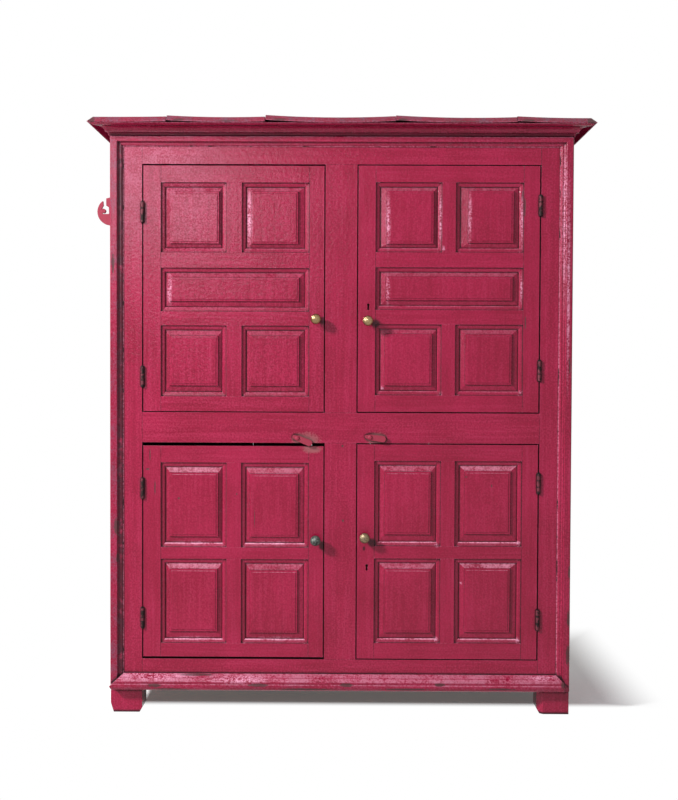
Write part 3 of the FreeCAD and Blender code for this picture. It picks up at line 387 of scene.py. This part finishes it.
def spun(profile, spokes):
    """Each profile point (radius, along) turned round an axis: radius * cos(angle), radius * sin(angle)
    and along, with the angle going round in even steps."""
    radius, along = np.array(profile).T[..., None]
    angle = np.linspace(0.0, 2 * math.pi, spokes, endpoint=False)
    return radius * np.cos(angle), radius * np.sin(angle), along + 0.0 * angle


def block(low, high, ease):
    """Rounded block: a rounded rectangle in x and y carried up z, drawn in at both ends and closed. Near
    an end the corner's radius is ease * cos(tilt), at ease * (1 - sin(tilt)) from that end."""
    low, high = np.array(low), np.array(high)
    middle, half = (low + high) / 2, (high - low) / 2
    quarter = np.linspace(0.0, math.pi / 2, CORNER_POINTS)
    angle = np.concatenate([quarter + corner * math.pi / 2 for corner in range(4)])
    centre_x = np.repeat([1, -1, -1, 1], CORNER_POINTS) * (half[0] - ease)
    centre_y = np.repeat([1, 1, -1, -1], CORNER_POINTS) * (half[1] - ease)
    eased = [(ease * (1 - math.sin(tilt)), ease * math.cos(tilt)) for tilt in quarter]
    steps = [(-half[2], 0.0, 0.0)] + [(-half[2] + drop, 1.0, radius) for drop, radius in eased[::-1]]
    steps += [(half[2] - drop, 1.0, radius) for drop, radius in eased] + [(half[2], 0.0, 0.0)]
    height, share, radius = np.array(steps).T[..., None]
    return grid(np.stack([middle[0] + share * centre_x + radius * np.cos(angle),
                          middle[1] + share * centre_y + radius * np.sin(angle),
                          middle[2] + height + 0.0 * angle], axis=-1))


def piece(name, shape, body, slot, material):
    """Object made from a shape; it rides on a body and takes the material it is given. slot is not used."""
    points, faces = shape
    mesh = bpy.data.meshes.new(name)
    mesh.from_pydata(points.tolist(), [], faces.tolist())
    work = bmesh.new()
    work.from_mesh(mesh)
    bmesh.ops.remove_doubles(work, verts=work.verts, dist=SAME_POINT)
    bmesh.ops.recalc_face_normals(work, faces=work.faces)
    work.to_mesh(mesh)
    work.free()
    mesh.shade_smooth()
    mesh.set_sharp_from_angle(angle=SHARP_ANGLE)
    mesh.materials.append(material)
    made = bpy.data.objects.new(name, mesh)
    bpy.context.scene.collection.objects.link(made)
    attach(made, body)
    return made


# Knobs and hinges

# The pins' axis, each leaf's two faces in X, its front and back edge behind the face, and its other sizes
PIN_X = 0.595
PIN_Y = FACE - 0.0025
DOOR_LEAF = (0.592, 0.594)
POST_LEAF = (0.5955, 0.5975)
LEAF_DEPTH = (0.0006, 0.024)
LEAF_EASE = 0.0004
HINGE_HEIGHT = 0.063
KNUCKLE_COUNT = 3
KNUCKLE_RADIUS = 0.0050
KNUCKLE_EASE = 0.0007
KNUCKLE_GAP = 0.0002
SCREW_DEPTH = 0.014
SCREW_HEIGHTS = (-0.021, 0.0, 0.021)


def knob_shape(x, z):
    """Foot, hollow neck, flattened bulb on an ellipse and a small button at the tip, in metres, turned
    round an axis that runs forwards from the face."""
    neck = [(0.0, 0.0), (0.0112, 0.0), (0.0114, 0.0010), (0.0104, 0.0022), (0.0078, 0.0030),
            (0.0066, 0.0046), (0.0062, 0.0066), (0.0068, 0.0088), (0.0080, 0.0104)]
    radius, middle, half_depth = 0.0156, 0.0224, 0.0124
    bulb = [(radius * math.cos(tilt), middle + half_depth * math.sin(tilt))
            for tilt in np.radians(np.linspace(-62.0, 66.0, 26))]
    tip = [(0.0056, 0.0340), (0.0050, 0.0346), (0.0034, 0.0348), (0.0, 0.0348)]
    across, rise, out = spun(neck + bulb + tip, spokes=48)
    return grid(np.stack([x + across, FACE - out, z + rise], axis=-1))


def knuckle(x, low, high):
    """Rolled barrel of a hinge with eased ends, turned round the pin."""
    end_radius = KNUCKLE_RADIUS - KNUCKLE_EASE
    profile = [(0.0, low), (end_radius, low), (KNUCKLE_RADIUS, low + KNUCKLE_EASE),
               (KNUCKLE_RADIUS, high - KNUCKLE_EASE), (end_radius, high), (0.0, high)]
    across, back, height = spun(profile, spokes=32)
    return grid(np.stack([x + across, PIN_Y + back, height], axis=-1))


def screw(x, y, z, side):
    """Countersunk screw head: a shallow dome, its rim level with the leaf; side is the way it faces."""
    profile = [(0.0, 0.00035), (0.0012, 0.00032), (0.0024, 0.00025), (0.0034, 0.0001),
               (0.0038, 0.0), (0.0040, -0.0006), (0.0, -0.0006)]
    back, height, proud = spun(profile, spokes=18)
    return grid(np.stack([x + side * proud, y + back, z + height], axis=-1))


def hinge_leaf(middle, side, leaf, own):
    """A plate let into the edge, its three screws and its own knuckles: own is 0 for the post's leaf, with
    the outer two knuckles, and 1 for the door's, with the middle one."""
    low = middle - HINGE_HEIGHT / 2
    high = middle + HINGE_HEIGHT / 2
    step = HINGE_HEIGHT / KNUCKLE_COUNT
    x0, x1 = sorted((side * leaf[0], side * leaf[1]))
    front, back = (FACE + depth for depth in LEAF_DEPTH)
    parts = [block((x0, front, low), (x1, back, high), LEAF_EASE)]
    for number in range(own, KNUCKLE_COUNT, 2):
        start = low + number * step + (KNUCKLE_GAP if number else 0.0)
        end = low + (number + 1) * step - (KNUCKLE_GAP if number < KNUCKLE_COUNT - 1 else 0.0)
        parts.append(knuckle(side * PIN_X, start, end))
    seen_x, facing = (leaf[1], side) if own else (leaf[0], -side)
    for offset in SCREW_HEIGHTS:
        parts.append(screw(side * seen_x, FACE + SCREW_DEPTH, middle + offset, facing))
    return parts


# Marks on the face

# Open joints as (axis, places, width): posts against rails, centre stiles against rails, and a band of
# painted shade down the left moulding's inner slope. A door's joints are the places in X where its rails
# meet its stiles.
HAIRLINE = 0.0012
POST_JOINTS = ("X", (-0.5965, 0.5965), HAIRLINE)
RAIL_JOINTS = ("Z", (0.1625, 0.8165, 0.9075, 1.650), HAIRLINE)
LEFT_MOULDING_SHADE = ("X", (-0.660,), 0.011)
DOOR_JOINTS = {"upper_left": (-0.5405, -0.0955), "upper_right": (0.1030, 0.5450),
               "lower_left": (-0.5405, -0.0955), "lower_right": (0.1025, 0.5455)}

# Rubs, knocks, painted knob shadows and dark marks as (place, reach), each place as (x, z) on the face
BUTTON_RUBS = (((-0.102, 0.822), (0.075, 0.055)), ((0.108, 0.830), (0.055, 0.034)))
NAIL_HEADS = (((0.006, 0.808), (0.008, 0.008)), ((0.008, 0.583), (0.007, 0.008)))
LEFT_MOULDING_KNOCKS = (((-0.672, 0.562), (0.014, 0.050)), ((-0.668, 0.470), (0.010, 0.030)),
                        ((-0.682, 1.350), (0.008, 0.060)))
RIGHT_MOULDING_KNOCKS = (((0.687, 0.290), (0.010, 0.050)), ((0.686, 0.180), (0.012, 0.060)),
                         ((0.688, 0.430), (0.008, 0.040)), ((0.684, 1.050), (0.006, 0.050)))
CROWN_KNOCKS = (((-0.480, 1.772), (0.034, 0.008)), ((-0.180, 1.774), (0.042, 0.008)),
                ((0.180, 1.774), (0.030, 0.008)), ((0.550, 1.772), (0.040, 0.008)),
                ((-0.738, 1.770), (0.022, 0.020)), ((0.736, 1.770), (0.026, 0.022)),
                ((-0.330, 1.768), (0.090, 0.003)), ((0.360, 1.768), (0.110, 0.003)))
BASE_KNOCKS = (((-0.555, 0.088), (0.045, 0.010)), ((-0.430, 0.116), (0.100, 0.006)),
               ((-0.245, 0.090), (0.060, 0.010)), ((0.020, 0.092), (0.040, 0.012)),
               ((0.300, 0.094), (0.030, 0.010)), ((0.672, 0.096), (0.018, 0.030)),
               ((0.480, 0.082), (0.090, 0.006)), ((-0.100, 0.078), (0.160, 0.007)),
               ((0.200, 0.080), (0.140, 0.006)), ((-0.500, 0.076), (0.120, 0.006)))

# Painted highlights and sheen as (place, reach, share); a few are pale worn chips at panel corners
STRONG_MARK = 0.75
HALF_MARK = 0.5
RIGHT_MOULDING_GLINTS = (((0.666, 1.480), (0.011, 0.330), STRONG_MARK),
                         ((0.678, 1.300), (0.007, 0.420), STRONG_MARK))
BASE_GLINTS = (((-0.560, 0.112), (0.170, 0.013), STRONG_MARK),
               ((-0.300, 0.106), (0.120, 0.016), STRONG_MARK),
               ((0.610, 0.112), (0.060, 0.010), STRONG_MARK))
# a broad painted sheen over the top left of the posts and rails
TOP_LEFT_GLINT = (((-0.560, 1.640), (0.340, 0.420), 0.18),)

# Under stains, each door's first place is a painted shadow of its knob; lower right's second is a dark mark
DOOR_MARKS = {
    "upper_left": dict(
        knob_shadows_and_stains=(((-0.052, 1.184), (0.024, 0.020)),),
        # a broad painted sheen over the door's top left, then painted highlights on left bevels
        highlights_and_pale_chips=(((-0.480, 1.560), (0.230, 0.300), 0.12),
                ((-0.276, 1.490), (0.014, 0.120), STRONG_MARK),
                ((-0.515, 1.275), (0.011, 0.070), STRONG_MARK))),
    "upper_right": dict(
        knob_shadows_and_stains=(((0.103, 1.177), (0.024, 0.020)),),
        # painted highlights on left bevels and moulding slopes
        highlights_and_pale_chips=(((0.140, 1.480), (0.011, 0.110), STRONG_MARK),
                ((0.297, 1.490), (0.008, 0.110), STRONG_MARK),
                ((0.384, 1.490), (0.009, 0.110), STRONG_MARK),
                ((0.540, 1.480), (0.007, 0.110), STRONG_MARK),
                ((0.140, 1.275), (0.009, 0.060), STRONG_MARK),
                ((0.540, 1.280), (0.006, 0.060), STRONG_MARK),
                # pale worn chips at panel corners
                ((0.305, 1.399), (0.008, 0.014), STRONG_MARK),
                ((0.125, 0.982), (0.007, 0.010), STRONG_MARK),
                ((0.300, 0.968), (0.008, 0.009), STRONG_MARK),
                ((0.540, 0.972), (0.008, 0.010), STRONG_MARK)),
        knocks=(((0.548, 1.525), (0.005, 0.060)), ((0.541, 1.560), (0.004, 0.030)),
                ((0.552, 1.180), (0.004, 0.040)))),
    "lower_left": dict(
        rubs=(((-0.084, 0.797), (0.060, 0.022)),),
        knob_shadows_and_stains=(((-0.052, 0.507), (0.022, 0.024)),),
        # painted highlights along the panels' bottom mouldings
        highlights_and_pale_chips=(((-0.440, 0.513), (0.100, 0.009), HALF_MARK),
                ((-0.198, 0.513), (0.100, 0.009), HALF_MARK),
                ((-0.440, 0.223), (0.100, 0.009), HALF_MARK),
                ((-0.198, 0.223), (0.100, 0.009), HALF_MARK)),
        knocks=(((-0.573, 0.778), (0.0035, 0.036)), ((-0.558, 0.680), (0.0035, 0.044)),
                ((-0.580, 0.736), (0.010, 0.006)), ((-0.486, 0.648), (0.007, 0.007)),
                ((-0.258, 0.590), (0.0022, 0.060)), ((-0.312, 0.662), (0.005, 0.006)))),
    "lower_right": dict(
        knob_shadows_and_stains=(((0.096, 0.517), (0.024, 0.022)), ((0.072, 0.499), (0.007, 0.012))),
        # pale worn chips at panel corners
        highlights_and_pale_chips=(((0.290, 0.509), (0.010, 0.008), STRONG_MARK),
                ((0.537, 0.517), (0.010, 0.009), STRONG_MARK),
                ((0.288, 0.224), (0.012, 0.012), STRONG_MARK),
                ((0.537, 0.223), (0.010, 0.012), STRONG_MARK),
                ((0.365, 0.396), (0.005, 0.008), STRONG_MARK)),
        knocks=(((0.115, 0.255), (0.005, 0.005)), ((0.378, 0.716), (0.010, 0.004)),
                ((0.455, 0.690), (0.004, 0.010)))),
}


# Paint, wood and metal of this cupboard

crimson = {
    "upright": crimson_paint("crimson_upright_strokes", "z", grain=0.75, seams=(POST_JOINTS,),
                             highlights_and_pale_chips=TOP_LEFT_GLINT),
    "level": crimson_paint("crimson_level_strokes", "x", grain=0.75, seams=(POST_JOINTS,),
                           highlights_and_pale_chips=TOP_LEFT_GLINT),
    "stiles": crimson_paint("crimson_centre_stiles", "z", grain=0.75, seams=(RAIL_JOINTS,),
                            knocks=NAIL_HEADS),
    "middle": crimson_paint("crimson_middle_rail", "x", grain=0.75, wear_and_edge_highlight=1.3, seams=(POST_JOINTS,),
                            rubs=BUTTON_RUBS),
    "deep": crimson_paint("crimson_strokes_front_to_back", "y", grime_and_shade=0.7),
    # the cornice returns' undersides darkened as painted shade
    "returns": crimson_paint("crimson_cornice_returns", "y", grime_and_shade=0.7, shade=0.6, gloss=0.0),
    "crown": crimson_paint("crimson_crown_boards", "y", wear_and_edge_highlight=1.2, film=1.0, shade=0.16,
                           knocks=CROWN_KNOCKS),
    "cornice": crimson_paint("crimson_cornice", "x", upward_highlight=0.25, grime_and_shade=0.75, wear_and_edge_highlight=0.8),
    "top_moulding": crimson_paint("crimson_top_moulding", "x", upward_highlight=0.35, film=0.2),
    "left_moulding": crimson_paint("crimson_left_moulding", "z", wear_and_edge_highlight=1.1, film=0.7,
                                   seams=(LEFT_MOULDING_SHADE,), knocks=LEFT_MOULDING_KNOCKS),
    "right_moulding": crimson_paint("crimson_right_moulding", "z", wear_and_edge_highlight=1.2,
                                    knocks=RIGHT_MOULDING_KNOCKS, highlights_and_pale_chips=RIGHT_MOULDING_GLINTS),
    "base": crimson_paint("crimson_base_moulding", "x", upward_highlight=0.3, wear_and_edge_highlight=1.4, film=0.35,
                          knocks=BASE_KNOCKS, highlights_and_pale_chips=BASE_GLINTS),
}
for door, marks in DOOR_MARKS.items():
    lower = door.startswith("lower")
    shared = dict(grain=0.9 if door == "upper_left" else 0.55, wear_and_edge_highlight=1.3,
                  seams=(("X", DOOR_JOINTS[door], HAIRLINE),), **marks)
    # the lower doors take a stronger painted highlight on their upward slopes than the upper doors
    crimson[door + "_upright"] = crimson_paint("crimson_" + door + "_upright", "z",
                                               upward_highlight=0.55 if lower else 0.12, **shared)
    crimson[door + "_level"] = crimson_paint("crimson_" + door + "_level", "x",
                                             upward_highlight=0.7 if lower else 0.15, **shared)

wood_level = bare_wood("bare_wood_grain_across", "x")
wood_upright = bare_wood("bare_wood_grain_upright", "z")
knob_brass = {
    "upper_left": brass("polished_brass", tone(152, 128, 92), tone(66, 50, 36), shine=0.22, tarnish=0.24),
    "upper_right": brass("rubbed_brass", tone(154, 130, 96), tone(66, 50, 36), shine=0.24, tarnish=0.24),
    "lower_left": brass("tarnished_brass", tone(112, 116, 110), tone(50, 54, 52), shine=0.46, tarnish=0.42),
    "lower_right": brass("dull_brass", tone(142, 124, 98), tone(66, 54, 42), shine=0.36, tarnish=0.34),
}
hinge_iron = iron("painted_hinge_iron", tone(24, 16, 18), tone(46, 28, 28), paint=0.06)
bare_iron = iron("bare_iron", tone(46, 42, 42), tone(92, 58, 40), paint=-0.3)
hook_iron = iron("painted_hook_iron", tone(40, 32, 34), tone(70, 44, 38), paint=0.75,
                 coat=tone(136, 22, 50))

dressed = [
    (crimson["upright"], ("front_left_post", "front_right_post", "back_posts", "right_side_panels",
                          "left_side_panels")),
    (crimson["level"], ("bottom_rail", "top_rail")),
    (crimson["deep"], ("right_side_rails", "left_side_rails")),
    (crimson["stiles"], ("lower_centre_stile", "upper_centre_stile")),
    (crimson["middle"], ("middle_rail",)),
    (crimson["crown"], ("top_boards",)),
    (crimson["returns"], ("cornice_returns",)),
    (crimson["cornice"], ("front_cornice",)),
    (crimson["top_moulding"], ("top_face_moulding",)),
    (crimson["left_moulding"], ("left_face_moulding",)),
    (crimson["right_moulding"], ("right_face_moulding",)),
    (crimson["base"], ("base_moulding",)),
    (wood_level, ("back_rails", "floor_boards", "middle_shelf", "shelves", "shelf_battens")),
    (wood_upright, ("back_boards", "door_stops")),
    (bare_iron, ("hinge_pins", "upper_lock_case", "lower_lock_case", "upper_lock_bolt",
                 "lower_lock_bolt")),
    (hook_iron, ("side_hook", "turn_button_pins", "left_turn_button", "right_turn_button")),
]
for door in DOORS:
    upright_nodes = (door + "_door_stiles", door + "_door_muntins", door + "_door_panels")
    dressed.append((crimson[door + "_upright"], upright_nodes))
    dressed.append((crimson[door + "_level"], (door + "_door_rails",)))
for material, names in dressed:
    for name in names:
        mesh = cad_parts[name].data
        mesh.materials.clear()
        mesh.materials.append(material)

post_parts = []
for name, door in DOORS.items():
    body = name + "_door"
    side = door["side"]
    x, z = door["knob"]
    knob = piece(name + "_knob", knob_shape(side * x, z), body,
                 "tarnished_brass" if name == "lower_left" else "aged_brass", knob_brass[name])
    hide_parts(name + "_door_fittings")
    door_parts = []
    for middle in door["hinges"]:
        door_parts += hinge_leaf(middle, side, DOOR_LEAF, 1)
        post_parts += hinge_leaf(middle, side, POST_LEAF, 0)
    leaves = piece(name + "_door_hinge_leaves", gather(door_parts), body, "hinge_iron", hinge_iron)
    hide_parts(name + "_door_fittings")
post_leaves = piece("post_hinge_leaves_rolled", gather(post_parts), "carcass", "hinge_iron", hinge_iron)
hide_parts("post_hinge_leaves")


# Floor, light and camera

# White, the floor's own grey, the softboxes' cool light and how strongly the world lights the object
WHITE = (1.0, 1.0, 1.0, 1.0)
FLOOR_GREY = (0.8, 0.8, 0.8, 1.0)
COOL = (0.82, 0.91, 1.0)
WORLD_LIGHT = 0.1

# The floor's half width, where it fades into the background beside, before and beyond the cupboard's
# middle, and the share of white that lies over its shadow
FLOOR_HALF = 30.0
FADE_BESIDE = (0.78, 1.03)
FADE_BEFORE = (0.07, 0.14)
FADE_BEYOND = (0.6, 1.1)
SHADOW_VEIL = 0.09

# The camera as fitted to the photo: its place, its turn in radians, and its focal length in pixels of a
# picture 800 pixels high
CAMERA_PLACE = (0.020, -4.0105, 1.0483)
YAW, PITCH, ROLL = -0.0066, 0.0269, 0.0041
FOCAL_PIXELS = 1266.2
PHOTO_HEIGHT = 800.0
SENSOR = 36.0


def pale_floor():
    """Pale floor that shows the cupboard's shadow. Beside, before and beyond the shadow it fades into the
    white background, in straight bands."""
    ground = Finish("pale_floor")
    seen = ground.background_rays()
    across, back = ground.along("X"), ground.along("Y")
    beside = abs(across).rise(*FADE_BESIDE)
    before = (0.0 - back).rise(*FADE_BEFORE)
    beyond = back.rise(*FADE_BEYOND)
    share = seen * beside.most(before).most(beyond)
    matt = ground.add("ShaderNodeBsdfDiffuse", None, {"Color": ground.blend(seen, FLOOR_GREY, WHITE)})
    glow = ground.add("ShaderNodeEmission", None, {"Color": WHITE, "Strength": 1.0})
    mixed = ground.add("ShaderNodeMixShader", None, {0: share.most(seen * SHADOW_VEIL), 1: matt, 2: glow})
    ground.add("ShaderNodeOutputMaterial", None, {"Surface": mixed})
    mesh = bpy.data.meshes.new("floor")
    corners = [(x * FLOOR_HALF, y * FLOOR_HALF, 0.0) for x, y in ((-1, -1), (1, -1), (1, 1), (-1, 1))]
    mesh.from_pydata(corners, [], [(0, 1, 2, 3)])
    mesh.materials.append(ground.material)
    floor = bpy.data.objects.new("floor", mesh)
    bpy.context.scene.collection.objects.link(floor)


def studio_world():
    """White where it is seen or mirrored, and a faint even light on the object."""
    world = bpy.data.worlds.new("studio")
    bpy.context.scene.world = world
    world.use_nodes = True
    sky = Nodes(world.node_tree)
    strength = sky.add("ShaderNodeMapRange", None,
                       {"Value": sky.background_rays(), "To Min": WORLD_LIGHT, "To Max": 1.0})
    background = sky.add("ShaderNodeBackground", None, {"Color": WHITE, "Strength": strength})
    sky.add("ShaderNodeOutputWorld", None, {"Surface": background})


def lamp(name, place, aim, size, power, colour=WHITE[:3], mirrored=True):
    """Round lamp that faces its aim; one that isn't mirrored leaves no highlight."""
    light = bpy.data.lights.new(name, "AREA")
    light.color = colour
    light.shape = "DISK"
    light.size = size
    light.energy = power
    made = bpy.data.objects.new(name, light)
    made.location = place
    made.rotation_euler = (Vector(aim) - Vector(place)).to_track_quat("-Z", "Y").to_euler()
    made.visible_glossy = mirrored
    bpy.context.scene.collection.objects.link(made)


def camera():
    """The photo's camera: a little above the cupboard's middle and four metres before it."""
    level = Vector((math.cos(YAW), -math.sin(YAW), 0.0))
    ahead = Vector((math.sin(YAW), math.cos(YAW), 0.0))
    rise = Vector((0.0, 0.0, 1.0))
    forward = math.cos(PITCH) * ahead - math.sin(PITCH) * rise
    upward = math.sin(PITCH) * ahead + math.cos(PITCH) * rise
    right = math.cos(ROLL) * level + math.sin(ROLL) * upward
    top = math.cos(ROLL) * upward - math.sin(ROLL) * level
    data = bpy.data.cameras.new("camera")
    data.sensor_width = SENSOR
    data.lens = SENSOR * FOCAL_PIXELS / PHOTO_HEIGHT
    made = bpy.data.objects.new("camera", data)
    turned = Matrix((right, top, -forward)).transposed().to_4x4()
    made.matrix_world = Matrix.Translation(CAMERA_PLACE) @ turned
    bpy.context.scene.collection.objects.link(made)
    bpy.context.scene.camera = made


pale_floor()
studio_world()
lamp("key", (-4.51, -2.86, 3.82), (0.0, -0.21, 0.9), 0.7, 590.0)
lamp("front_softbox", (-0.95, -4.0, 2.1), (0.0, -0.21, 1.0), 1.1, 17.0, COOL)
lamp("left_softbox", (-2.0, -3.7, 2.25), (0.0, -0.21, 1.2), 1.1, 26.0, COOL)
lamp("back_fill", (2.2, 3.6, 2.6), (0.0, 0.0, 0.9), 1.6, 70.0, mirrored=False)
camera()
bpy.context.scene.view_settings.view_transform = "Standard"
